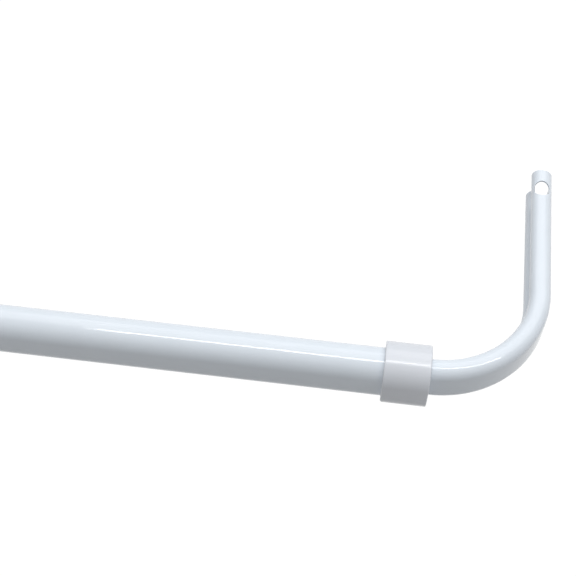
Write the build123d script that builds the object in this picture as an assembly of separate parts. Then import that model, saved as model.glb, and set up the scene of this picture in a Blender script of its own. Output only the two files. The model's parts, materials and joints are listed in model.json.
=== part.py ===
"""Adjustable curtain rod: two nested rolled-steel rods with bent returns, and a moulded collar.

Frame: X along the rod, +Y towards the wall, +Z up. The origin is under the middle of the closed rod,
at the lowest point of the collar and half-way between the front of the collar and the wall.
"""
import os
from math import atan2, degrees, sqrt

from build123d import *

# Overall sizes, in millimetres
closed_width = 711.0  # over both returns, with the inner rod pushed fully in
return_depth = 114.3  # from the rod's centre line to the wall
inside_bend_radius = 40.0  # on the back of both rods

# Rolled sheet sections: a lower and an upper lobe, drawn in at the back to an open seam
sheet = 0.7
outer_height = 25.4
outer_depth = 17.0
inner_height = 21.2
inner_depth = 10.4
lip_tuck = 0.8  # how far the back of the upper lobe stands in from the back of the lower one
waist_radius = 4.0  # of the hollow at the back, outside the sheet
seam_gap = 1.2  # between the two edges of the sheet

# Wall end of each return: an oblong hook hole in the top, and the lower half cut back
hook_hole_width = 7.0
hook_hole_length = 8.6
hook_hole_setback = 11.0  # from the wall end to the hole's centre
toe_cut = 3.5  # how far the lower half stops short of the wall

# Moulded collar over the mouth of the outer rod
collar_length = 20.0
collar_wall = 2.7  # thickness over the outer rod
collar_grip = 13.0  # how far the outer rod reaches into it
collar_edge = 1.2  # bevel on its rims
bend_room = 0.5  # from the collar's face to the start of the bend

# Moulded glide in the hidden end of the inner rod
glide_head = 12.0  # length of the part that runs in the outer rod
glide_tenon = 16.0  # length of the part inside the inner rod
glide_edge = 1.0  # bevel on its leading rim
end_room = 6.0  # from the glide to the outer rod's bend

# Clearances on each side
fit_clearance = 0.1  # between pieces that are pushed together for good
running_clearance = 0.3  # between pieces that slide

# Levels and stations worked out from the sizes above
collar_height = outer_height + 2 * collar_wall
collar_depth = outer_depth + 2 * collar_wall
axis_z = collar_height / 2
axis_y = (collar_depth / 2 - return_depth) / 2
wall_y = axis_y + return_depth

outer_bend_radius = inside_bend_radius + outer_depth / 2
inner_bend_radius = inside_bend_radius + inner_depth / 2
outer_return_x = -closed_width / 2 + outer_depth / 2
inner_return_x = closed_width / 2 - inner_depth / 2
outer_bend_x = outer_return_x + outer_bend_radius
inner_bend_x = inner_return_x - inner_bend_radius

collar_face_x = inner_bend_x - bend_room
collar_back_x = collar_face_x - collar_length
outer_mouth_x = collar_back_x + collar_grip
inner_end_x = outer_bend_x + end_room + glide_head


def across(x):
    """The plane across the rod's centre line: local X points out of the back, local Y up."""
    return Plane(origin=(x, axis_y, axis_z), x_dir=(0, 1, 0), z_dir=(1, 0, 0))


def slot_shape(height, depth, margin=0.0):
    """A tall slot outline, grown by a margin on every side."""
    return SlotOverall(height + 2 * margin, depth + 2 * margin, rotation=90)


def waist_centre(height, depth):
    """The centre of the circle that draws a rod in at the back: it touches both lobes."""
    lobe_y = (height - depth) / 2
    lower_reach = depth / 2 + waist_radius
    upper_reach = lower_reach - lip_tuck
    spacing = 2 * lobe_y + lip_tuck
    along = (spacing**2 + lower_reach**2 - upper_reach**2) / (2 * spacing)
    return Vector(sqrt(lower_reach**2 - along**2), along - lobe_y)


def rolled_shape(height, depth, margin=0.0):
    """The outline of a rolled rod, grown by a margin.

    Two round lobes, one over the other, are joined by a flat front and a hollow waist at the back.
    The back of the upper lobe has a smaller radius, so that it stands in.
    """
    lobe_y = (height - depth) / 2
    tuck_y = lobe_y + lip_tuck
    lobe_radius = depth / 2 + margin
    waist = waist_centre(height, depth)
    lower_turn = degrees(atan2(waist.Y + lobe_y, waist.X))
    upper_turn = degrees(atan2(waist.Y - tuck_y, waist.X))
    return make_face(
        [
            Line((-lobe_radius, -lobe_y), (-lobe_radius, lobe_y)),
            CenterArc((0, lobe_y), lobe_radius, 180, -90),
            CenterArc((0, tuck_y), lobe_radius - lip_tuck, 90, upper_turn - 90),
            CenterArc(waist, waist_radius - margin, 180 + upper_turn, lower_turn - upper_turn),
            CenterArc((0, -lobe_y), lobe_radius, lower_turn, -180 - lower_turn),
        ]
    )


def rod_section(height, depth):
    """The sheet of a rod, open at the seam in the middle of its waist."""
    seam = Pos(depth / 2, waist_centre(height, depth).Y) * Rectangle(depth, seam_gap)
    return rolled_shape(height, depth) - rolled_shape(height, depth, -sheet) - seam


def rod(height, depth, end_x, return_x, bend_radius):
    """A rod from its straight end, round the bend and along the return to the wall."""
    path = FilletPolyline(
        (end_x, axis_y, axis_z), (return_x, axis_y, axis_z), (return_x, wall_y, axis_z), radius=bend_radius
    )
    tube = sweep(across(end_x) * rod_section(height, depth), path=path)

    hole = extrude(SlotOverall(hook_hole_length, hook_hole_width, rotation=90), height)
    hole = Pos(return_x, wall_y - hook_hole_setback, axis_z) * hole
    seam_z = axis_z + waist_centre(height, depth).Y
    toe = Box(2 * depth, 2 * toe_cut, height, align=(Align.CENTER, Align.CENTER, Align.MAX))
    return tube - hole - Pos(return_x, wall_y, seam_z) * toe


def bar(outline, from_x, to_x):
    """An outline carried along the rod's centre line."""
    return extrude(across(from_x) * outline, to_x - from_x)


def collar():
    """A sleeve with a pocket for the outer rod and an end wall that guides the inner rod."""
    sleeve = bar(slot_shape(outer_height, outer_depth, collar_wall), collar_back_x, collar_face_x)
    rims = sleeve.faces().sort_by(Axis.X)
    sleeve = chamfer(rims[0].edges() + rims[-1].edges(), collar_edge)
    pocket = bar(slot_shape(outer_height, outer_depth, fit_clearance), collar_back_x, outer_mouth_x)
    guide = bar(slot_shape(inner_height, inner_depth, running_clearance), outer_mouth_x, collar_face_x)
    return sleeve - pocket - guide


def end_glide():
    """A plug with a head that runs in the outer rod and a tenon inside the inner rod."""
    head_shape = rolled_shape(outer_height, outer_depth, -sheet - running_clearance)
    head = bar(head_shape, inner_end_x - glide_head, inner_end_x)
    head = chamfer(head.faces().sort_by(Axis.X)[0].edges(), glide_edge)
    tenon_shape = rolled_shape(inner_height, inner_depth, -sheet - fit_clearance)
    return head + bar(tenon_shape, inner_end_x, inner_end_x + glide_tenon)


pieces = {
    "outer_rod": rod(outer_height, outer_depth, outer_mouth_x, outer_return_x, outer_bend_radius),
    "collar": collar(),
    "inner_rod": rod(inner_height, inner_depth, inner_end_x, inner_return_x, inner_bend_radius),
    "end_glide": end_glide(),
}

os.makedirs("parts", exist_ok=True)
for name, shape in pieces.items():
    shape.label = name
    export_step(shape, f"parts/{name}.step")
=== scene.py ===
import json
from math import asin, atan2, cos, pi, radians, sin, sqrt

import bmesh
import bpy
from mathutils import Matrix, Vector


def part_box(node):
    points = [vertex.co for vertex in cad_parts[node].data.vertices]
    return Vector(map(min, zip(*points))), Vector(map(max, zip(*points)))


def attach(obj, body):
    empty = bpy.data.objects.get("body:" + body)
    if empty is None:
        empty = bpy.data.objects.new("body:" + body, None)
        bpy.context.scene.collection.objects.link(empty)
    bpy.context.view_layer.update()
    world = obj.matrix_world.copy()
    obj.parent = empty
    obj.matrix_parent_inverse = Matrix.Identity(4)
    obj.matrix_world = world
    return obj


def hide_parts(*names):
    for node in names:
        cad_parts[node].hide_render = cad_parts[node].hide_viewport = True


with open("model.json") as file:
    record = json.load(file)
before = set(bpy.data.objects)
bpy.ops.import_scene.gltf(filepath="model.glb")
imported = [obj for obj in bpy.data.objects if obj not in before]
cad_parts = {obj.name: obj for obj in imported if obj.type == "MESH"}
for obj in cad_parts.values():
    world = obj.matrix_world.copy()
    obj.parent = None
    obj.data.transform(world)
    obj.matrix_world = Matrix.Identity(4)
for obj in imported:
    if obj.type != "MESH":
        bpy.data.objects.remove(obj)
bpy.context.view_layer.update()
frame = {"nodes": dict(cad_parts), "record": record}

bl_info = {
    "name": "Adjustable curtain rod",
    "version": (1, 0, 0),
    "blender": (4, 5, 0),
    "location": "3D View > Sidebar > Curtain Rod",
    "description": "Models and finishes a two-piece rolled-steel curtain rod with a moulded collar",
    "category": "Add Mesh",
}

MM = 0.001
CLOSE = 0.001 * MM  # two points nearer than this are one
OVERSHOOT = 1 * MM  # how far a cutter reaches past the face that it cuts
SHARP = radians(35)  # edges that turn by more than this stay sharp
FEWEST_STEPS = 3  # faces along the shortest arc of a section
PUNCH_SIDES = 64  # flat sides round the tool that punches a hook hole

# Where the solids stand, read from the frame in metres
OUTER_LOW, OUTER_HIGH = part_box("outer_rod")
INNER_LOW, INNER_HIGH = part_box("inner_rod")
COLLAR_LOW, COLLAR_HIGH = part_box("collar")
MOUNTS = {mount["name"]: mount for mount in frame["record"]["mounts"]}
AXIS_Y = (COLLAR_LOW.y + COLLAR_HIGH.y) / 2
AXIS_Z = (COLLAR_LOW.z + COLLAR_HIGH.z) / 2
WALL_Y = OUTER_HIGH.y
X_AXIS = Vector((1, 0, 0))
Z_AXIS = Vector((0, 0, 1))


def linear(hex_colour):
    """A colour written as sRGB hex, as the linear red, green and blue that shaders take."""
    channels = [int(hex_colour[i : i + 2], 16) / 255 for i in (1, 3, 5)]
    return tuple(c / 12.92 if c <= 0.04045 else ((c + 0.055) / 1.055) ** 2.4 for c in channels)


def amount(name, description, default, **kind):
    """A number that a user can change."""
    return bpy.props.FloatProperty(name=name, description=description, default=default, **kind)


def length(name, description, default):
    """A size that a user can change, in metres."""
    return amount(name, description, default, unit="LENGTH", precision=5)


def share(name, description, default):
    """A part of a whole that a user can change."""
    return amount(name, description, default, subtype="FACTOR", min=0.01, max=1)


def turn(name, description, degrees):
    """An angle that a user can change."""
    return amount(name, description, radians(degrees), unit="ROTATION")


def steps(name, description, default):
    """A number of faces that a user can change."""
    return bpy.props.IntProperty(name=name, description=description, default=default, min=1)


def place(name, description, default):
    """A point, an offset or a pair of sides that a user can change, in metres."""
    return bpy.props.FloatVectorProperty(
        name=name,
        description=description,
        default=default,
        size=len(default),
        unit="LENGTH",
        precision=4,
    )


def colour(name, description, default):
    """A colour that a user can change, from its sRGB hex."""
    return bpy.props.FloatVectorProperty(
        name=name, description=description, default=linear(default), subtype="COLOR", min=0, max=1
    )


class RodSizes(bpy.types.PropertyGroup):
    """Sizes of the two rolled rods that their outer boxes don't give."""

    sheet: length("Sheet", "Thickness of the rolled steel", 0.7 * MM)
    bend: length("Inside bend", "Radius at the back of both bends", 40.0 * MM)
    tuck: length("Lip tuck", "How far the back of the upper lobe stands in from the lower one", 0.8 * MM)
    waist: length("Waist", "Radius of the hollow along the back", 4.0 * MM)
    seam: length("Seam", "Gap between the two edges of the sheet", 1.2 * MM)
    toe: length("Toe cut", "How far the lower half of each return stops short of the wall", 3.5 * MM)
    quarter_steps: steps("Quarter steps", "Faces round a quarter turn of the section", 14)
    bend_steps: steps("Bend steps", "Faces along each bend", 48)


class CollarSizes(bpy.types.PropertyGroup):
    """Sizes of the moulded collar that its outer box doesn't give."""

    fit: length("Fit", "Room round the outer rod in its pocket", 0.1 * MM)
    run: length("Run", "Room round the inner rod in its guide", 0.3 * MM)
    edge: length("Edge", "Rounding of the rims", 0.7 * MM)
    edge_steps: steps("Edge steps", "Faces across a rounded rim", 5)
    quarter_steps: steps("Quarter steps", "Faces round a quarter turn of the section", 20)


class Finish(bpy.types.PropertyGroup):
    """Colours of the finishes."""

    enamel: colour("Enamel", "Gloss white enamel on the rods", "#E6EEF6")
    enamel_thin: colour("Thin enamel", "The same enamel where the film is thinner", "#E1E9F2")
    collar: colour("Collar", "Moulded white plastic of the collar", "#DFE3EA")
    collar_flow: colour("Collar flow", "The same plastic in its flow marks", "#DBDFE6")
    glide: colour("Glide", "Natural white plastic of the hidden glide", "#E9E8E0")
    glide_flow: colour("Glide flow", "The same plastic in its flow marks", "#E0DFD6")


class Stage(bpy.types.PropertyGroup):
    """Camera and light."""

    camera_place: place("Camera", "Where the camera stands", (0.2782, -0.3073, 0.4491))
    camera_pitch: turn("Pitch", "How far the camera looks down", 55.65)
    camera_yaw: turn("Yaw", "How far the camera turns to the left", 7.81)
    camera_roll: turn("Roll", "How far the camera leans", -0.22)
    lens: amount("Lens", "Focal length", 72.1, unit="CAMERA")
    aim: place("Aim", "The point that the lamps face", (0.25, AXIS_Y, AXIS_Z))
    bank_place: place("Bank place", "The broad lamp, from the point it faces", (0.0, 0.57, 1.22))
    bank_size: place("Bank size", "Sides of the broad lamp, behind and above", (3.0, 1.3))
    bank: amount("Bank", "Power of the broad lamp", 15.5, unit="POWER")
    strip_place: place("Strip place", "The narrow lamp, from the point it faces", (0.33, -0.14, 1.34))
    strip_size: place("Strip size", "Sides of the narrow lamp, overhead", (1.5, 0.17))
    strip: amount("Strip", "Power of the narrow lamp", 8.6, unit="POWER")
    world: amount("World", "Strength of the light all round", 0.21)
    floor_size: length("Floor size", "Side of the square floor", 8.0)
    floor: share("Floor", "How much light the floor gives back", 0.42)
    white: share("White", "Plain white in the floor as the camera sees it", 0.88)


# Drawing and shaping meshes


def start_mesh(name):
    """Starts an empty mesh and leaves it in edit mode."""
    bpy.ops.object.select_all(action="DESELECT")
    bpy.ops.mesh.primitive_plane_add()
    piece = bpy.context.object
    piece.name = piece.data.name = name
    bpy.ops.object.mode_set(mode="EDIT")
    bpy.ops.mesh.delete(type="VERT")
    return piece


def start_line(point):
    """Adds one vertex to the mesh in hand, to draw a line from."""
    bpy.ops.mesh.primitive_plane_add()
    bpy.ops.mesh.merge(type="CENTER")
    bpy.ops.transform.translate(value=point)


def draw_by(step):
    """Carries the selection on by a straight step."""
    bpy.ops.mesh.extrude_region_move(TRANSFORM_OT_translate={"value": step})


def draw_round(centre, angle, steps, axis=X_AXIS):
    """Carries the selection on round a centre, anticlockwise as seen against the axis."""
    bpy.ops.mesh.spin(steps=steps, angle=-angle, center=centre, axis=axis)


def select_where(piece, test):
    """Selects the vertices of the mesh in hand that pass a test, and the edges between them."""
    bpy.ops.mesh.select_mode(type="VERT")
    bpy.ops.mesh.select_all(action="DESELECT")
    mesh = bmesh.from_edit_mesh(piece.data)
    for vertex in mesh.verts:
        vertex.select_set(test(vertex.co))
    mesh.select_flush(True)
    bmesh.update_edit_mesh(piece.data)


def apply_modifier(piece, kind, **settings):
    """Adds a modifier with its settings and applies it."""
    modifier = piece.modifiers.new(kind.title(), kind)
    for name, value in settings.items():
        setattr(modifier, name, value)
    bpy.context.view_layer.objects.active = piece
    bpy.ops.object.modifier_apply(modifier=modifier.name)


def cut_away(piece, cutter):
    """Takes a cutter's shape out of a piece, and clears the cutter away."""
    apply_modifier(piece, "BOOLEAN", object=cutter, operation="DIFFERENCE", solver="EXACT")
    bpy.data.objects.remove(cutter)


def finish_mesh(piece):
    """Smooths the round faces and leaves the sharp edges sharp."""
    bpy.ops.object.select_all(action="DESELECT")
    piece.select_set(True)
    bpy.context.view_layer.objects.active = piece
    bpy.ops.object.shade_smooth_by_angle(angle=SHARP)


# Materials

MIX_A, MIX_B, MIX_RESULT = 6, 7, 2  # sockets of a Mix node that are for colours
TONE_DETAIL, GRAIN_DETAIL = 3.0, 1.0  # finer waves laid over the clouds of tone, and over the grain


def add_node(tree, kind, links=None, inputs=None, **settings):
    """Adds a shader node, sets its properties and inputs, and links outputs to its inputs."""
    node = tree.nodes.new(kind)
    for name, value in settings.items():
        setattr(node, name, value)
    for name, value in (inputs or {}).items():
        node.inputs[name].default_value = value
    for name, output in (links or {}).items():
        tree.links.new(output, node.inputs[name])
    return node


def start_material(name):
    """An empty node material and its tree."""
    material = bpy.data.materials.new(name)
    material.use_nodes = True
    material.node_tree.nodes.clear()
    return material, material.node_tree


def white_finish(name, tints, tone_width, grain_width, grain_height, roughness, ior):
    """A smooth white surface: two tones that drift into each other, an uneven gloss and a fine grain."""
    material, tree = start_material(name)
    spot = add_node(tree, "ShaderNodeTexCoord").outputs["Object"]
    drift = add_node(
        tree, "ShaderNodeTexNoise", {"Vector": spot}, {"Scale": 1 / tone_width, "Detail": TONE_DETAIL}
    ).outputs["Fac"]
    grain = add_node(
        tree, "ShaderNodeTexNoise", {"Vector": spot}, {"Scale": 1 / grain_width, "Detail": GRAIN_DETAIL}
    ).outputs["Fac"]
    tone = add_node(
        tree,
        "ShaderNodeMix",
        {"Factor": drift},
        {MIX_A: (*tints[0], 1), MIX_B: (*tints[1], 1)},
        data_type="RGBA",
    )
    gloss = add_node(
        tree, "ShaderNodeMapRange", {"Value": drift}, {"To Min": roughness[0], "To Max": roughness[1]}
    )
    bump = add_node(tree, "ShaderNodeBump", {"Height": grain}, {"Distance": grain_height})
    shader = add_node(
        tree,
        "ShaderNodeBsdfPrincipled",
        {
            "Base Color": tone.outputs[MIX_RESULT],
            "Roughness": gloss.outputs["Result"],
            "Normal": bump.outputs["Normal"],
        },
        {"IOR": ior},
    )
    add_node(tree, "ShaderNodeOutputMaterial", {"Surface": shader.outputs["BSDF"]})
    return material


def gloss_enamel(finish):
    """Gloss enamel sprayed and baked on rolled steel: a wet gloss with a faint orange peel."""
    return white_finish(
        "gloss_enamel_on_steel",
        (finish.enamel, finish.enamel_thin),
        tone_width=14 * MM,  # clouds of thicker and thinner film
        grain_width=1.6 * MM,  # waves of the orange peel
        grain_height=0.004 * MM,
        roughness=(0.06, 0.1),
        ior=1.5,
    )


def moulded_abs(finish):
    """ABS from a finely polished mould: a soft sheen, a very fine grain and faint flow marks."""
    return white_finish(
        "moulded_abs",
        (finish.collar, finish.collar_flow),
        tone_width=5 * MM,  # flow marks
        grain_width=0.5 * MM,  # polishing marks of the mould
        grain_height=0.0012 * MM,
        roughness=(0.16, 0.24),
        ior=1.54,
    )


def moulded_acetal(finish):
    """Natural acetal from a plain mould: waxy, rather matt, with cloudy flow marks."""
    return white_finish(
        "moulded_acetal",
        (finish.glide, finish.glide_flow),
        tone_width=4 * MM,  # clouds where the melt met
        grain_width=0.4 * MM,  # tool marks of the mould
        grain_height=0.003 * MM,
        roughness=(0.38, 0.5),
        ior=1.48,
    )


# The rods


def section_sides(low, high):
    """The height and depth of a section that is centred on the rod, from a box."""
    return high.z - low.z, 2 * (AXIS_Y - low.y)


def waist_centre(height, depth, sizes):
    """Where the circle of the hollow back stands from the section's middle: out of the back, and up."""
    lobe_z = (height - depth) / 2
    lower_reach = depth / 2 + sizes.waist
    upper_reach = lower_reach - sizes.tuck
    spacing = 2 * lobe_z + sizes.tuck
    along = (spacing**2 + lower_reach**2 - upper_reach**2) / (2 * spacing)
    return sqrt(lower_reach**2 - along**2), along - lobe_z


def draw_rolled_section(x, height, depth, sizes):
    """Draws the outside of a rod's section, from one edge of the seam round to the other."""
    lobe_z = (height - depth) / 2
    waist_y, waist_z = waist_centre(height, depth, sizes)
    lower_turn = atan2(waist_z + lobe_z, waist_y)
    upper_turn = atan2(lobe_z + sizes.tuck - waist_z, waist_y)
    seam_turn = asin(sizes.seam / 2 / sizes.waist)

    middle = Vector((x, AXIS_Y, AXIS_Z))
    lobe_up = middle + lobe_z * Z_AXIS
    lobe_down = middle - lobe_z * Z_AXIS
    waist = middle + Vector((0, waist_y, waist_z))

    def arc(centre, angle):
        draw_round(centre, angle, max(FEWEST_STEPS, round(sizes.quarter_steps * abs(angle) / (pi / 2))))

    start_line(waist + sizes.waist * Vector((0, -cos(seam_turn), sin(seam_turn))))
    arc(waist, seam_turn - upper_turn)
    arc(lobe_up + sizes.tuck * Z_AXIS, pi / 2 + upper_turn)
    arc(lobe_up, pi / 2)
    draw_by(lobe_down - lobe_up)
    arc(lobe_down, pi + lower_turn)
    arc(waist, seam_turn - lower_turn)


def cut_hook_hole(piece, mount, height):
    """Punches the oblong hook hole through the top of the return."""
    x, y, _ = mount["pos_m"]
    radius = mount["dims"]["hole_r_mm"] * MM
    stretch = mount["dims"]["slot_length_mm"] * MM / 2 - radius
    bpy.ops.object.select_all(action="DESELECT")
    bpy.ops.mesh.primitive_cylinder_add(vertices=PUNCH_SIDES, radius=radius, depth=height)
    punch = bpy.context.object
    bpy.ops.object.mode_set(mode="EDIT")
    for end in (-1, 1):
        select_where(punch, lambda co: end * co.y > CLOSE)
        bpy.ops.transform.translate(value=(0, end * stretch, 0))
    bpy.ops.mesh.select_all(action="SELECT")
    bpy.ops.transform.translate(value=(x, y, AXIS_Z + height / 2))
    bpy.ops.object.mode_set(mode="OBJECT")
    cut_away(piece, punch)


def cut_toe(piece, return_x, height, depth, sizes):
    """Cuts the lower half of the return back from the wall, up to the seam."""
    top = AXIS_Z + waist_centre(height, depth, sizes)[1]
    bpy.ops.object.select_all(action="DESELECT")
    bpy.ops.mesh.primitive_cube_add(
        size=1, location=(return_x, WALL_Y, top - height / 2), scale=(2 * depth, 2 * sizes.toe, height)
    )
    cut_away(piece, bpy.context.object)


def model_rod(name, low, high, from_x, side, mount, sizes):
    """Rolls one rod: its section, carried along the straight, round the bend and back to the wall."""
    height, depth = section_sides(low, high)
    bend_radius = sizes.bend + depth / 2
    return_x = (high.x if side > 0 else low.x) - side * depth / 2
    bend_centre = Vector((return_x - side * bend_radius, AXIS_Y + bend_radius, AXIS_Z))

    piece = start_mesh(name)
    draw_rolled_section(from_x, height, depth, sizes)
    bpy.ops.mesh.select_all(action="SELECT")
    draw_by((bend_centre.x - from_x, 0, 0))
    draw_round(bend_centre, side * pi / 2, sizes.bend_steps, Z_AXIS)
    draw_by((0, WALL_Y - bend_centre.y, 0))
    bpy.ops.mesh.select_all(action="SELECT")
    if side < 0:
        bpy.ops.mesh.flip_normals()
    bpy.ops.object.mode_set(mode="OBJECT")
    apply_modifier(piece, "SOLIDIFY", thickness=sizes.sheet, offset=-1, use_even_offset=True)
    cut_hook_hole(piece, mount, height)
    cut_toe(piece, return_x, height, depth, sizes)
    finish_mesh(piece)
    return piece


class CURTAINROD_OT_rods(bpy.types.Operator):
    """Models the outer and the inner rod and enamels them"""

    bl_idname = "curtain_rod.rods"
    bl_label = "Rolled Rods"

    def execute(self, context):
        sizes = context.scene.curtain_rod_sizes
        enamel = gloss_enamel(context.scene.curtain_rod_finish)
        outer = model_rod(
            "rolled_outer_rod", OUTER_LOW, OUTER_HIGH, OUTER_HIGH.x, -1, MOUNTS["outer_hook_hole"], sizes
        )
        inner = model_rod(
            "rolled_inner_rod", INNER_LOW, INNER_HIGH, INNER_LOW.x, 1, MOUNTS["inner_hook_hole"], sizes
        )
        for piece, node, body in ((outer, "outer_rod", "outer"), (inner, "inner_rod", "inner")):
            piece.data.materials.append(enamel)
            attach(piece, body)
            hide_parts(node)
        return {"FINISHED"}


# The collar


def draw_slot(x, height, depth, steps_round):
    """Draws a closed upright slot outline across the rod."""
    half = depth / 2
    up = Vector((x, AXIS_Y, AXIS_Z + height / 2 - half))
    down = Vector((x, AXIS_Y, AXIS_Z - height / 2 + half))
    start_line(down + Vector((0, half, 0)))
    draw_by(up - down)
    draw_round(up, pi, 2 * steps_round)
    draw_by(down - up)
    draw_round(down, pi, 2 * steps_round)


def model_bar(name, from_x, to_x, height, depth, steps_round):
    """A solid bar along the rod, with an upright slot for its section."""
    piece = start_mesh(name)
    draw_slot(from_x, height, depth, steps_round)
    bpy.ops.mesh.select_all(action="SELECT")
    bpy.ops.mesh.remove_doubles(threshold=CLOSE)
    bpy.ops.mesh.edge_face_add()
    draw_by((to_x - from_x, 0, 0))
    bpy.ops.mesh.select_all(action="SELECT")
    bpy.ops.mesh.normals_make_consistent(inside=False)
    bpy.ops.object.mode_set(mode="OBJECT")
    return piece


def model_collar(sizes):
    """Moulds the sleeve: a rounded outside, a pocket for the outer rod and a guide for the inner rod."""
    back_x, face_x, mouth_x = COLLAR_LOW.x, COLLAR_HIGH.x, OUTER_HIGH.x
    steps_round = sizes.quarter_steps
    height, depth = section_sides(COLLAR_LOW, COLLAR_HIGH)
    piece = model_bar("moulded_sleeve", back_x, face_x, height, depth, steps_round)
    bpy.ops.object.mode_set(mode="EDIT")
    for end_x in (back_x, face_x):
        select_where(piece, lambda co: abs(co.x - end_x) < CLOSE)
        bpy.ops.mesh.bevel(offset=sizes.edge, segments=sizes.edge_steps, affect="EDGES")
    bpy.ops.object.mode_set(mode="OBJECT")

    for low, high, room, from_x, to_x in (
        (OUTER_LOW, OUTER_HIGH, sizes.fit, back_x - OVERSHOOT, mouth_x),
        (INNER_LOW, INNER_HIGH, sizes.run, mouth_x - OVERSHOOT, face_x + OVERSHOOT),
    ):
        height, depth = section_sides(low, high)
        core = model_bar("core", from_x, to_x, height + 2 * room, depth + 2 * room, steps_round)
        cut_away(piece, core)
    finish_mesh(piece)
    return piece


class CURTAINROD_OT_collar(bpy.types.Operator):
    """Models the moulded collar over the mouth of the outer rod"""

    bl_idname = "curtain_rod.collar"
    bl_label = "Moulded Collar"

    def execute(self, context):
        piece = model_collar(context.scene.curtain_rod_collar)
        piece.data.materials.append(moulded_abs(context.scene.curtain_rod_finish))
        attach(piece, "outer")
        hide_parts("collar")
        return {"FINISHED"}


class CURTAINROD_OT_glide(bpy.types.Operator):
    """Finishes the hidden glide at the end of the inner rod"""

    bl_idname = "curtain_rod.glide"
    bl_label = "End Glide"

    def execute(self, context):
        materials = frame["nodes"]["end_glide"].data.materials
        materials.clear()
        materials.append(moulded_acetal(context.scene.curtain_rod_finish))
        return {"FINISHED"}


# The stage


def seen_directly(tree):
    """An output that is 1 for what the camera sees, also mirrored or through glass, and 0 for light."""
    path = add_node(tree, "ShaderNodeLightPath").outputs
    mirrored = add_node(
        tree, "ShaderNodeMath", {0: path["Is Camera Ray"], 1: path["Is Glossy Ray"]}, operation="MAXIMUM"
    )
    through = add_node(
        tree,
        "ShaderNodeMath",
        {0: mirrored.outputs[0], 1: path["Is Transmission Ray"]},
        operation="MAXIMUM",
    )
    return through.outputs[0]


def floor_material(stage):
    """Pale matt floor that looks white and still shows a faint shadow."""
    material, tree = start_material("pale_floor")
    seen = add_node(
        tree, "ShaderNodeMath", {0: seen_directly(tree)}, {1: stage.white}, operation="MULTIPLY"
    )
    pale = (stage.floor, stage.floor, stage.floor, 1)
    matt = add_node(tree, "ShaderNodeBsdfDiffuse", inputs={"Color": pale})
    white = add_node(tree, "ShaderNodeEmission", inputs={"Strength": 1 / stage.white})
    mix = add_node(
        tree, "ShaderNodeMixShader", {0: seen.outputs[0], 1: matt.outputs[0], 2: white.outputs[0]}
    )
    add_node(tree, "ShaderNodeOutputMaterial", {"Surface": mix.outputs[0]})
    return material


def studio_world(stage):
    """An even light from all round, with white behind what the camera sees."""
    world = bpy.data.worlds.new("studio")
    world.use_nodes = True
    tree = world.node_tree
    tree.nodes.clear()
    strength = add_node(
        tree,
        "ShaderNodeMapRange",
        {"Value": seen_directly(tree)},
        {"To Min": stage.world, "To Max": 1.0},
    )
    sky = add_node(
        tree, "ShaderNodeBackground", {"Strength": strength.outputs["Result"]}, {"Color": (1, 1, 1, 1)}
    )
    add_node(tree, "ShaderNodeOutputWorld", {"Surface": sky.outputs[0]})
    return world


def hang_lamp(name, offset, sides, target, watts):
    """A rectangular lamp, level along the rod, that is tipped to face it."""
    lamp = bpy.data.lights.new(name, "AREA")
    lamp.shape = "RECTANGLE"
    lamp.size, lamp.size_y = sides
    lamp.energy = watts
    holder = bpy.data.objects.new(name, lamp)
    bpy.context.scene.collection.objects.link(holder)
    holder.location = Vector(target) + Vector(offset)
    holder.rotation_euler.x = atan2(-offset[1], offset[2])


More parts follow.
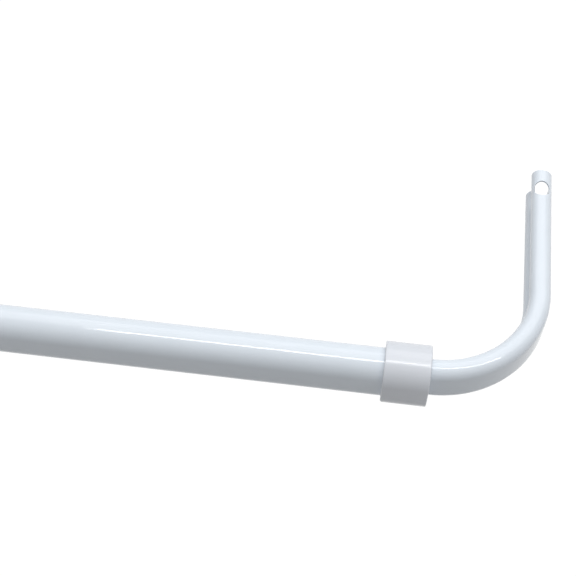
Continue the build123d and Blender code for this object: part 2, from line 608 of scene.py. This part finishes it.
class CURTAINROD_OT_stage(bpy.types.Operator):
    """Sets the floor, the light and the camera"""

    bl_idname = "curtain_rod.stage"
    bl_label = "Stage"

    def execute(self, context):
        scene = context.scene
        stage = scene.curtain_rod_stage
        bpy.ops.object.select_all(action="DESELECT")
        bpy.ops.mesh.primitive_plane_add(size=stage.floor_size)
        floor = context.object
        floor.name = "floor"
        floor.data.materials.append(floor_material(stage))

        hang_lamp("bank_lamp", stage.bank_place, stage.bank_size, stage.aim, stage.bank)
        hang_lamp("strip_lamp", stage.strip_place, stage.strip_size, stage.aim, stage.strip)
        scene.world = studio_world(stage)
        scene.view_settings.view_transform = "Standard"

        camera = bpy.data.cameras.new("camera")
        camera.lens = stage.lens
        holder = bpy.data.objects.new("camera", camera)
        scene.collection.objects.link(holder)
        holder.matrix_world = (
            Matrix.Translation(stage.camera_place)
            @ Matrix.Rotation(stage.camera_yaw, 4, "Z")
            @ Matrix.Rotation(pi / 2 - stage.camera_pitch, 4, "X")
            @ Matrix.Rotation(stage.camera_roll, 4, "Z")
        )
        scene.camera = holder
        return {"FINISHED"}


# The add-on

OPERATORS = (CURTAINROD_OT_rods, CURTAINROD_OT_collar, CURTAINROD_OT_glide, CURTAINROD_OT_stage)
GROUPS = {
    "curtain_rod_sizes": RodSizes,
    "curtain_rod_collar": CollarSizes,
    "curtain_rod_finish": Finish,
    "curtain_rod_stage": Stage,
}


class VIEW3D_PT_curtain_rod(bpy.types.Panel):
    """Pieces, sizes and finishes of the curtain rod"""

    bl_label = "Curtain Rod"
    bl_space_type = "VIEW_3D"
    bl_region_type = "UI"
    bl_category = "Curtain Rod"

    def draw(self, context):
        for operator in OPERATORS:
            self.layout.operator(operator.bl_idname)
        for name, group in GROUPS.items():
            box = self.layout.box()
            for setting in group.__annotations__:
                box.prop(getattr(context.scene, name), setting)


CLASSES = (*GROUPS.values(), *OPERATORS, VIEW3D_PT_curtain_rod)


def register():
    for cls in CLASSES:
        bpy.utils.register_class(cls)
    for name, group in GROUPS.items():
        setattr(bpy.types.Scene, name, bpy.props.PointerProperty(type=group))


def unregister():
    for name in GROUPS:
        delattr(bpy.types.Scene, name)
    for cls in reversed(CLASSES):
        bpy.utils.unregister_class(cls)


def main():
    register()
    bpy.ops.curtain_rod.rods()
    bpy.ops.curtain_rod.collar()
    bpy.ops.curtain_rod.glide()
    bpy.ops.curtain_rod.stage()


if __name__ == "__main__":
    main()
